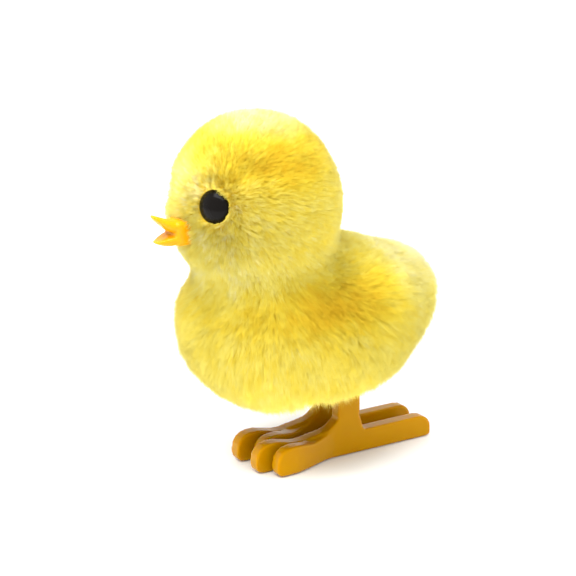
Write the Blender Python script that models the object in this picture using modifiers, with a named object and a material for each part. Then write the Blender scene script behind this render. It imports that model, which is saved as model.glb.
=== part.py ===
"""Wind-up hopping chick: a plush toy on a clockwork motor that rocks two legs.

Metres, +Z up. The chick faces -Y, its left side is +X and its soles stand on Z = 0.
Every size below is in millimetres times MM. MID_X moves the whole toy sideways so that
the middle of its bounding box, winding knob included, is at X = 0.
"""

import math

import bmesh
import bpy
from mathutils import Matrix, Vector

MM = 0.001
GAP = 0.3 * MM

# Outer surface of the fur: centre, half sizes and pitch of each rounded mass.
HEAD_CENTRE = Vector((0, -10.6, 59.3)) * MM
HEAD_HALF = Vector((19.2, 19.4, 19.8)) * MM
BODY_CENTRE = Vector((0, 2.2, 30.9)) * MM
BODY_HALF = Vector((24.2, 27.2, 19.3)) * MM
BODY_PITCH = math.radians(9.4)
CHEST_CENTRE = Vector((0, -6.1, 32.5)) * MM
CHEST_HALF = Vector((22.2, 21.4, 19.3)) * MM
RUMP_CENTRE = Vector((0, 18.9, 32.4)) * MM
RUMP_HALF = Vector((14.2, 16.5, 13.8)) * MM
RUMP_PITCH = math.radians(19.7)
SKIN_VOXEL = 3.5 * MM
LINING_VOXEL = 4.8 * MM
SMOOTH_TURNS = 5

PLUSH_THICK = 4.2 * MM
SHELL_WALL = 1.3 * MM
SEAM_GAP = GAP

# Winding side and gears. Module is pitch diameter over teeth.
MODULE = 0.5 * MM
TOOTH_LASH = 0.12 * MM
GREAT_TEETH = 28
WHEEL_TEETH = 24
PINION_TEETH = 8
CRANK_YZ = Vector((1.0, 27.0)) * MM
SECOND_ANGLE = math.radians(105)
ARBOR_ANGLE = math.radians(-10)
ARBOR_R = 0.9 * MM
PIN_R = 0.5 * MM
GREAT_X = (5.8 * MM, 6.8 * MM)
WHEEL_X = (2.0 * MM, 3.2 * MM)
SECOND_PINION_END = 7.0 * MM
CRANK_DISC_X = (0.1 * MM, 1.3 * MM)
CRANK_PINION_END = 3.6 * MM
CRANK_DISC_R = 2.7 * MM
CRANK_THROW = 1.6 * MM
CRANK_PIN_R = 0.6 * MM
CRANK_PIN_REACH = 0.5 * MM
RATCHET_X = (4.5 * MM, 5.5 * MM)
RATCHET_R = 3.0 * MM
RATCHET_ROOT_R = 2.4 * MM
RATCHET_TEETH = 12
RATCHET_LEAN = math.radians(3)
CLICK_R = 5.0 * MM
CLICK_PIVOT_R = 0.6 * MM
CLICK_FROM = math.radians(80)
CLICK_TO = math.radians(40)
SPRING_X = (-6.9 * MM, -2.6 * MM)
SPRING_STRIP = 0.3 * MM
SPRING_OUTER_R = 6.6 * MM
SPRING_INNER_R = 1.6 * MM
SPRING_TURNS = 4.5

# Motor case: two trays that meet on the middle plane.
CASE_HALF_X = 8.2 * MM
CASE_WALL = 0.9 * MM
CASE_FRONT_Y = -8.9 * MM
CASE_BACK_Y = 17.0 * MM
CASE_FLOOR_Z = 20.8 * MM
CASE_ROOF_Z = 42.6 * MM
CASE_FLOOR_BACK_Y = 8.6 * MM
CASE_BACK_LOW_Z = 26.0 * MM
CASE_BACK_HIGH_Z = 37.5 * MM
CASE_ROOF_BACK_Y = 9.6 * MM
CASE_FRONT_CUT = 2.5 * MM
CASE_BOSS_R = 1.5 * MM
CASE_BOSS_IN = CASE_WALL + 0.7 * MM
CASE_SCREWS = (
    Vector((CASE_FRONT_Y + CASE_BOSS_IN, CASE_ROOF_Z - CASE_BOSS_IN)),
    Vector((CASE_BACK_Y - CASE_BOSS_IN, CASE_BACK_LOW_Z + 1.3 * MM)),
)
CASE_SCREW_TIP = 5.0 * MM
CASE_POSTS = (Vector((-5.0, 27.0)) * MM, Vector((13.5, 38.0)) * MM)
CASE_POST_R = 1.6 * MM
SCREW_R = 0.6 * MM
SCREW_HEAD_R = 1.3 * MM
SCREW_HEAD = 0.8 * MM
SCREW_SLOT = 0.5 * MM

# Legs and feet.
LEG_X = 3.95 * MM
LEG_THICK = 2.9 * MM
LEG_DEPTH = 5.6 * MM
ROCKER_YZ = Vector((10.3, 24.0)) * MM
ROCKER_SHAFT_R = 0.8 * MM
LEG_HUB_R = 2.4 * MM
HUB_PROUD = 0.1 * MM
ANKLE_TOP = 8.7 * MM
TENON_HALF = Vector((0.65, 1.8)) * MM
TENON_LENGTH = 3.0 * MM
TENON_IN_LEG = 1.0 * MM
ROCKER_ARM_SPACE = 0.4 * MM
ROCKER_ARM_X = (LEG_THICK / 2 + ROCKER_ARM_SPACE - LEG_X, -0.7 * MM)
ROCKER_ARM_HALF = 1.6 * MM
ROCKER_ARM_HUB_R = 2.0 * MM
LONG_TOE_THICK = 2.9 * MM
SHORT_TOE_THICK = 2.7 * MM
SHORT_TOE_LIFT = 0.05 * MM
HEEL_Y = 32.2 * MM
HEEL_HIGH = 5.0 * MM
LONG_TOE_Y = -13.0 * MM
SHORT_TOE_Y = -10.3 * MM
TOE_HIGH = 6.3 * MM
INSTEP_LOW = 5.2 * MM
LONG_TOE_DRIFT = -0.8 * MM
FEET_SPACE = 0.6 * MM
TOES_THICK = LONG_TOE_THICK + SHORT_TOE_THICK
SHORT_TOE_DRIFT = 2 * LEG_X + LONG_TOE_DRIFT - TOES_THICK / 2 - FEET_SPACE
DRIFT_END_Y = -7.0 * MM
DRIFT_START = 1.0 * MM
TOE_FLAT = 5.5 * MM
TOE_TO_INSTEP = 10.5 * MM
INSTEP_RISE = 1.5 * MM
SHORT_INSTEP_RISE = 1.2 * MM
INSTEP_TO_ANKLE = 2.2 * MM
HEEL_STEP = 1.1 * MM
TOE_SOLE_R = 1.6 * MM
TOE_NOSE_R = 3.4 * MM
TOE_TOP_R = 4.0 * MM
INSTEP_R = 8.0 * MM
SHORT_INSTEP_R = 6.0 * MM
RISE_R = 5.0 * MM
ANKLE_R = 0.4 * MM
HEEL_STEP_R = 0.8 * MM
HEEL_R = 3.0 * MM
LEG_SWING_ROOM = 2.4 * MM
HEM_ROOM = 1.0 * MM
ROCKER_ARM_END = 1.2 * MM

# Knob, on the chick's right.
KNOB_SUNK = 2.0 * MM
KNOB_INNER_X = KNOB_SUNK - BODY_HALF.x
KNOB_DISC = 1.5 * MM
KNOB_R = 4.6 * MM
KNOB_OUTER_X = KNOB_INNER_X - 5.3 * MM
KNOB_GRIP_HALF = 1.3 * MM
KNOB_STEM_R = 2.2 * MM
KNOB_STEM_X = KNOB_INNER_X + 6.2 * MM
KNOB_CAP = 1.2 * MM

# Smoothing takes SIDE_MELT off each flank; the knob moves the box's middle off the toy's.
SIDE_MELT = 0.6 * MM
MID_X = -(KNOB_OUTER_X + BODY_HALF.x - SIDE_MELT) / 2

# Face.
EYE_AIM = Vector((8.45, -15.47, 3.42)).normalized()
EYE_R = 3.5 * MM
EYE_SEAT = HEAD_HALF.y - PLUSH_THICK
EYE_FRONT = HEAD_HALF.y - 1.7 * MM
EYE_RIM = 0.6 * MM
EYE_SHANK_R = 1.2 * MM
EYE_SHANK = 3.2 * MM
BEAK_HALF = 3.2 * MM
BEAK_BACK_Y = HEAD_CENTRE.y - EYE_SEAT
BEAK_STEP_Y = HEAD_CENTRE.y - HEAD_HALF.y - 0.9 * MM
BEAK_TIP_Y = BEAK_STEP_Y - 3.9 * MM
BEAK_BOTTOM = HEAD_CENTRE.z - 6.0 * MM
BEAK_TOP = HEAD_CENTRE.z - 0.2 * MM
BEAK_TIP_Z = HEAD_CENTRE.z + 0.8 * MM
MOUTH_Z = HEAD_CENTRE.z - 2.7 * MM
LOWER_BEAK_TIP_Y = BEAK_STEP_Y - 3.6 * MM
LOWER_BEAK_TIP_Z = HEAD_CENTRE.z - 4.6 * MM
BEAK_TIP_SHARE = 0.18
BEAK_TIP_THICK = 0.8 * MM
LOWER_TIP_HALF = 0.3 * MM
MOUTH_HALF = 0.5 * MM
BEAK_TIP_R = 0.3 * MM
LOWER_TIP_R = 0.15 * MM
BEAK_BASE_R = 1.5 * MM
BEAK_TOP_R = 3.0 * MM
BEAK_INSIDE_R = 2.0 * MM
BEAK_SLICES = (0.2, 0.4, 0.6, 0.8, 0.92)
BEAK_STUB_R = 1.6 * MM
BEAK_STUB = 4.4 * MM

# Screws that close the rigid shell: (y, z) of each.
SHELL_SCREWS = {
    "shell_screw_neck": Vector((-8.5, 52.0)) * MM,
    "shell_screw_chest": Vector((-17.0, 33.0)) * MM,
    "shell_screw_rump": Vector((23.0, 34.5)) * MM,
}
SHELL_BOSS_R = 2.4 * MM
SHELL_SCREW_HALF = 5.0 * MM

# Sides of a round shape, from the knob down to the pins.
FINE_ROUND = 32
ROUND = 24
SMALL_ROUND = 16
PIN_ROUND = 12
DOME_STEPS = 6
TOE_SLICES = 8
SPRING_POINTS_PER_TURN = 20

LONG = 200 * MM


def spot(yz, x=0.0):
    """A point from its x and its (y, z) pair."""
    return Vector((x, yz.x, yz.y))


def mesh_distance(teeth, other):
    return MODULE * (teeth + other) / 2


def polar(length, angle):
    return Vector((length * math.cos(angle), length * math.sin(angle)))


SECOND_YZ = CRANK_YZ + polar(mesh_distance(WHEEL_TEETH, PINION_TEETH), SECOND_ANGLE)
ARBOR_YZ = SECOND_YZ + polar(mesh_distance(GREAT_TEETH, PINION_TEETH), ARBOR_ANGLE)


# Scene, materials and small helpers


def clear_scene():
    for obj in list(bpy.data.objects):
        bpy.data.objects.remove(obj)


def new_collection(name):
    collection = bpy.data.collections.new(name)
    bpy.context.scene.collection.children.link(collection)
    return collection


def material(name, colour, roughness, metallic=0.0):
    made = bpy.data.materials.new(name)
    made.use_nodes = True
    made.diffuse_color = (*colour, 1)
    shader = made.node_tree.nodes["Principled BSDF"]
    shader.inputs["Base Color"].default_value = (*colour, 1)
    shader.inputs["Roughness"].default_value = roughness
    shader.inputs["Metallic"].default_value = metallic
    return made


clear_scene()
PARTS = new_collection("windup_hopping_chick")
HELPERS = new_collection("cutters_and_guides")

PLUSH = material("yellow plush", (0.93, 0.78, 0.16), 0.95)
GOLDEN = material("golden plastic", (0.80, 0.44, 0.02), 0.30)
BEAK_ORANGE = material("orange plastic", (0.95, 0.60, 0.04), 0.25)
BLACK = material("black bead", (0.01, 0.01, 0.01), 0.20)
SHELL_GREY = material("white plastic", (0.86, 0.86, 0.83), 0.45)
CASE_PLASTIC = material("milky plastic", (0.80, 0.84, 0.86), 0.35)
GEAR_PLASTIC = material("gear nylon", (0.92, 0.91, 0.86), 0.40)
STEEL = material("steel", (0.62, 0.63, 0.65), 0.30, 1.0)
SPRING_STEEL = material("spring steel", (0.30, 0.33, 0.40), 0.25, 1.0)

TOY = bpy.data.objects.new("toy_middle", None)
TOY.location = (MID_X, 0, 0)
PARTS.objects.link(TOY)


def finish(name, made, paint, origin=Vector()):
    """Link a part made in the toy's frame, with its origin moved onto its axis."""
    made.transform(Matrix.Translation(-origin))
    obj = bpy.data.objects.new(name, made)
    obj.data.materials.append(paint)
    obj.location = origin
    obj.parent = TOY
    PARTS.objects.link(obj)
    return obj


def from_bmesh(bm, name):
    bmesh.ops.recalc_face_normals(bm, faces=bm.faces)
    mesh = bpy.data.meshes.new(name)
    bm.to_mesh(mesh)
    bm.free()
    return mesh


def part(name, bm, paint, origin=Vector()):
    return finish(name, from_bmesh(bm, name), paint, origin)


def helper(name, bm):
    """A cutter or guide that is never drawn as a part."""
    obj = bpy.data.objects.new(name, from_bmesh(bm, name))
    obj.parent = TOY
    obj.hide_render = True
    obj.display_type = "WIRE"
    HELPERS.objects.link(obj)
    return obj


def boolean(obj, other, operation):
    step = obj.modifiers.new(f"{operation.lower()} {other.name}"[:60], "BOOLEAN")
    step.solver = "EXACT"
    step.operation = operation
    step.object = other
    return step


def add_box(bm, low, high):
    size = Vector(high) - Vector(low)
    middle = (Vector(high) + Vector(low)) / 2
    place = Matrix.Translation(middle) @ Matrix.Diagonal((*size, 1))
    bmesh.ops.create_cube(bm, size=1, matrix=place)
    return bm


def add_rod(bm, radius, x_from, x_to, yz, segments=ROUND):
    """A round rod along X."""
    turn = Matrix.Rotation(math.pi / 2, 4, "Y")
    place = Matrix.Translation(spot(yz, (x_from + x_to) / 2)) @ turn
    bmesh.ops.create_cone(
        bm,
        cap_ends=True,
        segments=segments,
        radius1=radius,
        radius2=radius,
        depth=abs(x_to - x_from),
        matrix=place,
    )
    return bm


def box(low, high):
    return add_box(bmesh.new(), low, high)


def rod(radius, x_from, x_to, yz, segments=ROUND):
    return add_rod(bmesh.new(), radius, x_from, x_to, yz, segments)


def plate(outline, x_from, x_to):
    """A flat (y, z) outline made into a plate between two X planes."""
    bm = bmesh.new()
    face = bm.faces.new([bm.verts.new((x_from, y, z)) for y, z in outline])
    grown = bmesh.ops.extrude_face_region(bm, geom=[face])["geom"]
    moved = [item for item in grown if isinstance(item, bmesh.types.BMVert)]
    bmesh.ops.translate(bm, verts=moved, vec=(x_to - x_from, 0, 0))
    return bm


def slice_along_y(bm, places):
    for y in places:
        everything = bm.verts[:] + bm.edges[:] + bm.faces[:]
        bmesh.ops.bisect_plane(bm, geom=everything, plane_co=(0, y, 0), plane_no=(0, 1, 0))


def rounded(corners, steps=4):
    """An outline from (y, z, radius) corners, each rounded by an arc of that radius."""
    outline = []
    for index, (y, z, radius) in enumerate(corners):
        corner = Vector((y, z))
        before = Vector(corners[index - 1][:2]) - corner
        after = Vector(corners[(index + 1) % len(corners)][:2]) - corner
        half = before.angle(after) / 2
        if radius == 0 or half > math.radians(89):
            outline.append(corner)
            continue
        cut = radius / math.tan(half)
        centre = corner + (before.normalized() + after.normalized()).normalized() * (
            radius / math.sin(half)
        )
        first = corner + before.normalized() * cut - centre
        sweep = first.angle_signed(corner + after.normalized() * cut - centre)
        for step in range(steps + 1):
            turn = Matrix.Rotation(-sweep * step / steps, 2)
            outline.append(centre + turn @ first)
    return outline


def mixed(start, end, share):
    return start + (end - start) * share


def eased(value):
    share = min(max(value, 0), 1)
    return share * share * (3 - 2 * share)


# Soft body form


def ellipsoid(bm, centre, half, pitch=0.0):
    place = (
        Matrix.Translation(centre) @ Matrix.Rotation(pitch, 4, "X") @ Matrix.Diagonal((*half, 1))
    )
    bmesh.ops.create_uvsphere(bm, u_segments=48, v_segments=24, radius=1, matrix=place)


def body_form(name, depth):
    """The chick's closed form, lying a given depth under the tips of its fur."""
    bm = bmesh.new()
    ellipsoid(bm, HEAD_CENTRE, HEAD_HALF)
    ellipsoid(bm, BODY_CENTRE, BODY_HALF, BODY_PITCH)
    ellipsoid(bm, CHEST_CENTRE, CHEST_HALF)
    ellipsoid(bm, RUMP_CENTRE, RUMP_HALF, RUMP_PITCH)
    form = helper(name, bm)
    remesh = form.modifiers.new("one skin", "REMESH")
    remesh.mode = "VOXEL"
    remesh.voxel_size = LINING_VOXEL if depth else SKIN_VOXEL
    smooth = form.modifiers.new("soft creases", "SMOOTH")
    smooth.factor = 0.5
    smooth.iterations = SMOOTH_TURNS
    if depth:
        inward = form.modifiers.new("lie deeper", "DISPLACE")
        inward.mid_level = 0
        inward.strength = -depth
        whole = form.modifiers.new("no folds", "REMESH")
        whole.mode = "VOXEL"
        whole.voxel_size = LINING_VOXEL
    form.modifiers.new("flat faces", "TRIANGULATE")
    return form


def settled(form):
    """The form's mesh with its modifiers applied."""
    graph = bpy.context.evaluated_depsgraph_get()
    return bpy.data.meshes.new_from_object(form.evaluated_get(graph))


SHELL_DEPTH = PLUSH_THICK + GAP
SIDES = {"left": 1, "right": -1}


def side_block(side):
    """Everything on one side of the middle plane, less half of the seam's gap."""
    low, high = sorted((side * SEAM_GAP / 2, side * LONG))
    return box((low, -LONG, -LONG), (high, LONG, LONG))


def leg_slot(room, top):
    """The way that both legs take downwards, wide enough for their swing."""
    wide = LEG_X + LEG_THICK / 2 + room
    deep = LEG_DEPTH / 2 + LEG_SWING_ROOM
    return box((-wide, ROCKER_YZ.x - deep, -LONG), (wide, ROCKER_YZ.x + deep, top))


def add_aimed_rod(bm, frame, radius, low, high, segments=ROUND):
    """A round rod along a frame's own Z axis."""
    bmesh.ops.create_cone(
        bm,
        cap_ends=True,
        segments=segments,
        radius1=radius,
        radius2=radius,
        depth=high - low,
        matrix=frame @ Matrix.Translation((0, 0, (low + high) / 2)),
    )
    return bm


def aimed_rod(frame, radius, low, high, segments=ROUND):
    return add_aimed_rod(bmesh.new(), frame, radius, low, high, segments)


def eye_frame(side):
    """Local +Z runs along the eye's line of sight, from the head's centre."""
    aim = Vector((side * EYE_AIM.x, EYE_AIM.y, EYE_AIM.z))
    return Matrix.Translation(HEAD_CENTRE) @ aim.to_track_quat("Z", "X").to_matrix().to_4x4()


def beak_frame():
    """Local +Z runs backwards into the head from the back of the beak's block."""
    middle = Vector((0, BEAK_BACK_Y, (BEAK_BOTTOM + BEAK_TOP) / 2))
    return Matrix.Translation(middle) @ Matrix.Rotation(-math.pi / 2, 4, "X")


def cut(obj, *cutters):
    for cutter in cutters:
        boolean(obj, cutter, "DIFFERENCE")


def make_plush(slot, knob_hole):
    skin = settled(body_form("fur_tips_form", 0))
    core = body_form("under_plush_form", PLUSH_THICK)
    low = (-BEAK_HALF - GAP, -LONG, BEAK_BOTTOM - GAP)
    high = (BEAK_HALF + GAP, HEAD_CENTRE.y, BEAK_TOP + GAP)
    beak_hole = helper("beak_opening", box(low, high))
    pocket = helper("knob_pocket", rod(KNOB_R + GAP, -LONG, KNOB_INNER_X + GAP, ARBOR_YZ))
    for word, side in SIDES.items():
        panel = finish(f"plush_{word}", skin.copy(), PLUSH)
        boolean(panel, helper(f"{word}_of_seam", side_block(side)), "INTERSECT")
        eye_hole = aimed_rod(eye_frame(side), EYE_R + GAP, 0, LONG)
        cut(panel, core, slot, beak_hole, helper(f"eye_hole_{word}", eye_hole))
        if side < 0:
            cut(panel, knob_hole, pocket)


def make_shell(slot, knob_hole):
    form = settled(body_form("shell_form", SHELL_DEPTH))
    hollow = body_form("shell_hollow_form", SHELL_DEPTH + SHELL_WALL)
    for name, yz in SHELL_SCREWS.items():
        cut(hollow, helper(f"{name}_boss", rod(SHELL_BOSS_R, -LONG, LONG, yz, SMALL_ROUND)))
    for index, yz in enumerate(CASE_POSTS):
        for side in SIDES.values():
            post = rod(CASE_POST_R, side * (CASE_HALF_X + GAP), side * LONG, yz, SMALL_ROUND)
            cut(hollow, helper(f"case_post_{index}_{side}", post))
    beside_case = CASE_HALF_X + GAP
    relief = helper("case_relief", plate(case_outline(-GAP), -beside_case, beside_case))
    stub_hole = helper(
        "beak_stub_hole", aimed_rod(beak_frame(), BEAK_STUB_R + GAP, -LONG / 8, BEAK_STUB + GAP)
    )
    for word, side in SIDES.items():
        half = finish(f"shell_{word}", form.copy(), SHELL_GREY)
        shank_hole = aimed_rod(eye_frame(side), EYE_SHANK_R + GAP, EYE_SEAT / 2, LONG)
        cut(half, hollow, relief, slot, stub_hole)
        cut(half, helper(f"eye_shank_hole_{word}", shank_hole))
        if side < 0:
            cut(half, knob_hole)
            for index, yz in enumerate(CASE_SCREWS):
                room = rod(SCREW_HEAD_R + GAP, -beside_case - SCREW_HEAD - GAP, 0, yz, SMALL_ROUND)
                cut(half, helper(f"motor_screw_room_{index}", room))
        for name, yz in SHELL_SCREWS.items():
            reach = SHELL_SCREW_HALF + GAP
            bore = rod(SCREW_R + GAP, -reach, reach, yz, PIN_ROUND)
            cut(half, helper(f"{name}_bore_{word}", bore))
            if side < 0:
                seat = rod(SCREW_HEAD_R + GAP, -LONG, GAP - SHELL_SCREW_HALF, yz, SMALL_ROUND)
                cut(half, helper(f"{name}_seat", seat))
        boolean(half, helper(f"{word}_of_shell_seam", side_block(side)), "INTERSECT")
    for name, yz in SHELL_SCREWS.items():
        make_screw(name, yz, -SHELL_SCREW_HALF, SHELL_SCREW_HALF)


def make_screw(name, yz, under_head, tip):
    """A pan-head screw along +X, its head on the chick's right."""
    head = rod(SCREW_HEAD_R, under_head - SCREW_HEAD, under_head, yz, SMALL_ROUND)
    driver_slot = box(
        spot(yz, under_head - 2 * SCREW_HEAD) - Vector((0, SCREW_HEAD_R, SCREW_SLOT / 2)),
        spot(yz, under_head - SCREW_HEAD / 2) + Vector((0, SCREW_HEAD_R, SCREW_SLOT / 2)),
    )
    screw = part(name, head, STEEL)
    boolean(screw, helper(f"{name}_shank", rod(SCREW_R, under_head - GAP, tip, yz, PIN_ROUND)), "UNION")
    cut(screw, helper(f"{name}_slot", driver_slot))


# Face


def make_eyes():
    rise = EYE_FRONT - EYE_SEAT - EYE_RIM
    turns = [math.pi / 2 * step / DOME_STEPS for step in range(DOME_STEPS + 1)]
    dome = [(EYE_R * math.sin(turn), EYE_RIM + rise * math.cos(turn)) for turn in turns]
    profile = dome + [(EYE_R, 0), (EYE_SHANK_R, 0), (EYE_SHANK_R, -EYE_SHANK), (0, -EYE_SHANK)]
    for word, side in SIDES.items():
        seat = eye_frame(side) @ Matrix.Translation((0, 0, EYE_SEAT))
        turned(f"{word}_eye", profile, BLACK, seat)


def turned(name, profile, paint, frame):
    """A profile of (radius, height) points, from the top down, turned about a frame's Z."""
    mesh = bpy.data.meshes.new(name)
    points = [(radius, 0, height) for radius, height in profile]
    mesh.from_pydata(points, [(i, i + 1) for i in range(len(points) - 1)], [])
    obj = finish(name, mesh, paint)
    obj.matrix_local = frame
    spin = obj.modifiers.new("turn", "SCREW")
    spin.steps = ROUND
    spin.render_steps = ROUND
    spin.use_merge_vertices = True
    spin.merge_threshold = 0.00001
    return obj


def make_beak():
    outline = rounded(
        [
            (BEAK_BACK_Y, BEAK_BOTTOM, 0),
            (BEAK_BACK_Y, BEAK_TOP, 0),
            (BEAK_STEP_Y + 1.2 * MM, BEAK_TOP, BEAK_BASE_R),
            (BEAK_STEP_Y - 0.8 * MM, BEAK_TOP - MOUTH_HALF, BEAK_TOP_R),
            (BEAK_TIP_Y, BEAK_TIP_Z, BEAK_TIP_R),
            (BEAK_TIP_Y + 0.1 * MM, BEAK_TIP_Z - BEAK_TIP_THICK, BEAK_TIP_R),
            (BEAK_STEP_Y - 1.6 * MM, MOUTH_Z + 2 * MOUTH_HALF, BEAK_INSIDE_R),
            (BEAK_STEP_Y, MOUTH_Z + MOUTH_HALF, BEAK_TIP_R),
            (BEAK_STEP_Y, MOUTH_Z - MOUTH_HALF, BEAK_TIP_R),
            (LOWER_BEAK_TIP_Y, LOWER_BEAK_TIP_Z + LOWER_TIP_HALF, LOWER_TIP_R),
            (LOWER_BEAK_TIP_Y, LOWER_BEAK_TIP_Z - LOWER_TIP_HALF, LOWER_TIP_R),
            (BEAK_STEP_Y - MOUTH_HALF, BEAK_BOTTOM, BEAK_BASE_R),
        ],
        steps=3,
    )
    bm = plate(outline, -BEAK_HALF, BEAK_HALF)
    reach = BEAK_STEP_Y - BEAK_TIP_Y
    slice_along_y(bm, [BEAK_STEP_Y - reach * share for share in BEAK_SLICES])
    bmesh.ops.triangulate(bm, faces=bm.faces)
    for vert in bm.verts:
        ahead = min(max((BEAK_STEP_Y - vert.co.y) / reach, 0), 1)
        vert.co.x *= mixed(1, BEAK_TIP_SHARE, ahead * ahead)
    beak = part("beak", bm, BEAK_ORANGE)
    stub = aimed_rod(beak_frame(), BEAK_STUB_R, -GAP, BEAK_STUB, SMALL_ROUND)
    boolean(beak, helper("beak_stub", stub), "UNION")


# Motor


def gear_outline(centre, teeth, phase):
    """Straight-flanked teeth, with one tooth centred on the phase angle."""
    pitch_r = MODULE * teeth / 2
    tip, root = pitch_r + 0.9 * MODULE, pitch_r - 1.15 * MODULE
    half = math.pi / (2 * teeth) - TOOTH_LASH / (2 * pitch_r)
    outline = []
    for tooth in range(teeth):
        middle = phase + 2 * math.pi * tooth / teeth
        for radius, lean in ((root, -1.5), (tip, -0.5), (tip, 0.5), (root, 1.5)):
            outline.append(centre + polar(radius, middle + lean * half))
    return outline


def gear(centre, teeth, phase, span):
    return plate(gear_outline(centre, teeth, phase), *span)


def make_great_wheel():
    axis = spot(ARBOR_YZ)
    toothed = gear(ARBOR_YZ, GREAT_TEETH, ARBOR_ANGLE + math.pi, GREAT_X)
    wheel = part("great_wheel", toothed, GEAR_PLASTIC, axis)
    cut(wheel, helper("great_wheel_bore", rod(ARBOR_R + GAP, -LONG, LONG, ARBOR_YZ, SMALL_ROUND)))
    teeth = []
    for tooth in range(RATCHET_TEETH):
        start = 2 * math.pi * tooth / RATCHET_TEETH
        teeth.append(ARBOR_YZ + polar(RATCHET_ROOT_R, start))
        teeth.append(ARBOR_YZ + polar(RATCHET_R, start + RATCHET_LEAN))
    ratchet = part("ratchet_wheel", plate(teeth, *RATCHET_X), STEEL, axis)
    cut(ratchet, helper("ratchet_bore", rod(ARBOR_R + GAP, -LONG, LONG, ARBOR_YZ, SMALL_ROUND)))
    pivot = ARBOR_YZ + polar(CLICK_R, CLICK_FROM)
    toe = ARBOR_YZ + polar(RATCHET_R + 2 * GAP, CLICK_TO)
    lean = (toe - pivot).orthogonal().normalized()
    corners = [pivot + lean * CLICK_PIVOT_R, toe, pivot - lean * CLICK_PIVOT_R]
    click = part("click", plate(corners, *RATCHET_X), STEEL, axis)
    boolean(click, helper("click_eye", rod(CLICK_PIVOT_R + GAP, *RATCHET_X, pivot, PIN_ROUND)), "UNION")
    far = CASE_HALF_X - CASE_WALL / 2
    arbor = rod(ARBOR_R, KNOB_OUTER_X + KNOB_CAP + GAP, far, ARBOR_YZ, SMALL_ROUND)
    part("winding_arbor", arbor, STEEL, axis)
    make_knob(axis)
    make_mainspring()


def make_knob(axis):
    disc = rod(KNOB_R, KNOB_INNER_X, KNOB_INNER_X - KNOB_DISC, ARBOR_YZ, FINE_ROUND)
    grip = box(
        spot(ARBOR_YZ, KNOB_OUTER_X) - Vector((0, KNOB_GRIP_HALF, KNOB_R - GAP)),
        spot(ARBOR_YZ, KNOB_INNER_X - GAP) + Vector((0, KNOB_GRIP_HALF, KNOB_R - GAP)),
    )
    knob = part("winding_knob", disc, SHELL_GREY, axis)
    boolean(knob, helper("knob_grip", grip), "UNION")
    stem = rod(KNOB_STEM_R, KNOB_STEM_X, KNOB_INNER_X - GAP, ARBOR_YZ)
    boolean(knob, helper("knob_stem", stem), "UNION")
    bore = rod(ARBOR_R + GAP, KNOB_OUTER_X + KNOB_CAP, 0, ARBOR_YZ, SMALL_ROUND)
    cut(knob, helper("knob_bore", bore))


def make_mainspring():
    """A flat strip wound in a spiral about the arbor, its faces parallel to the axis."""
    curve = bpy.data.curves.new("mainspring", "CURVE")
    curve.dimensions = "3D"
    curve.extrude = (SPRING_X[1] - SPRING_X[0]) / 2
    steps = round(SPRING_TURNS * SPRING_POINTS_PER_TURN)
    spline = curve.splines.new("POLY")
    spline.points.add(steps)
    for index, point in enumerate(spline.points):
        share = index / steps
        at = polar(mixed(SPRING_INNER_R, SPRING_OUTER_R, share), SPRING_TURNS * 2 * math.pi * share)
        point.co = (at.x, at.y, 0, 1)
    curve.materials.append(SPRING_STEEL)
    spring = bpy.data.objects.new("mainspring", curve)
    middle = spot(ARBOR_YZ, (SPRING_X[0] + SPRING_X[1]) / 2)
    upright = Matrix(((0, 0, 1), (1, 0, 0), (0, 1, 0))).to_4x4()
    spring.parent = TOY
    spring.matrix_local = Matrix.Translation(middle) @ upright
    PARTS.objects.link(spring)
    strip = spring.modifiers.new("strip", "SOLIDIFY")
    strip.thickness = SPRING_STRIP
    strip.offset = 0


def make_second_wheel():
    axis = spot(SECOND_YZ)
    wheel = gear(SECOND_YZ, WHEEL_TEETH, SECOND_ANGLE + math.pi, WHEEL_X)
    wheel = part("second_wheel", wheel, GEAR_PLASTIC, axis)
    phase = ARBOR_ANGLE + math.pi / PINION_TEETH
    pinion = gear(SECOND_YZ, PINION_TEETH, phase, (WHEEL_X[1] - GAP, SECOND_PINION_END))
    boolean(wheel, helper("second_pinion", pinion), "UNION")
    cut(wheel, helper("second_bore", rod(PIN_R + GAP, -LONG, LONG, SECOND_YZ, PIN_ROUND)))
    part("second_pin", through_pin(PIN_R, SECOND_YZ), STEEL)


def make_crank_wheel():
    axis = spot(CRANK_YZ)
    wheel = part("crank_wheel", rod(CRANK_DISC_R, *CRANK_DISC_X, CRANK_YZ), GEAR_PLASTIC, axis)
    phase = SECOND_ANGLE + math.pi / PINION_TEETH
    pinion = gear(CRANK_YZ, PINION_TEETH, phase, (CRANK_DISC_X[1] - GAP, CRANK_PINION_END))
    boolean(wheel, helper("crank_pinion", pinion), "UNION")
    cut(wheel, helper("crank_bore", rod(PIN_R + GAP, -LONG, LONG, CRANK_YZ, PIN_ROUND)))
    along = (CRANK_YZ - ROCKER_YZ).normalized()
    throw = CRANK_YZ + along * CRANK_THROW
    pin = rod(CRANK_PIN_R, CRANK_DISC_X[0] - CRANK_PIN_REACH, CRANK_DISC_X[1], throw, PIN_ROUND)
    boolean(wheel, helper("crank_throw_pin", pin), "UNION")
    axle = rod(PIN_R, CRANK_DISC_X[0], CASE_HALF_X - CASE_WALL / 2, CRANK_YZ, PIN_ROUND)
    part("crank_axle_pin", axle, STEEL)


def through_pin(radius, yz):
    """A pin whose ends sit in the case's two walls."""
    reach = CASE_HALF_X - CASE_WALL / 2
    return rod(radius, -reach, reach, yz, PIN_ROUND)


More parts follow.
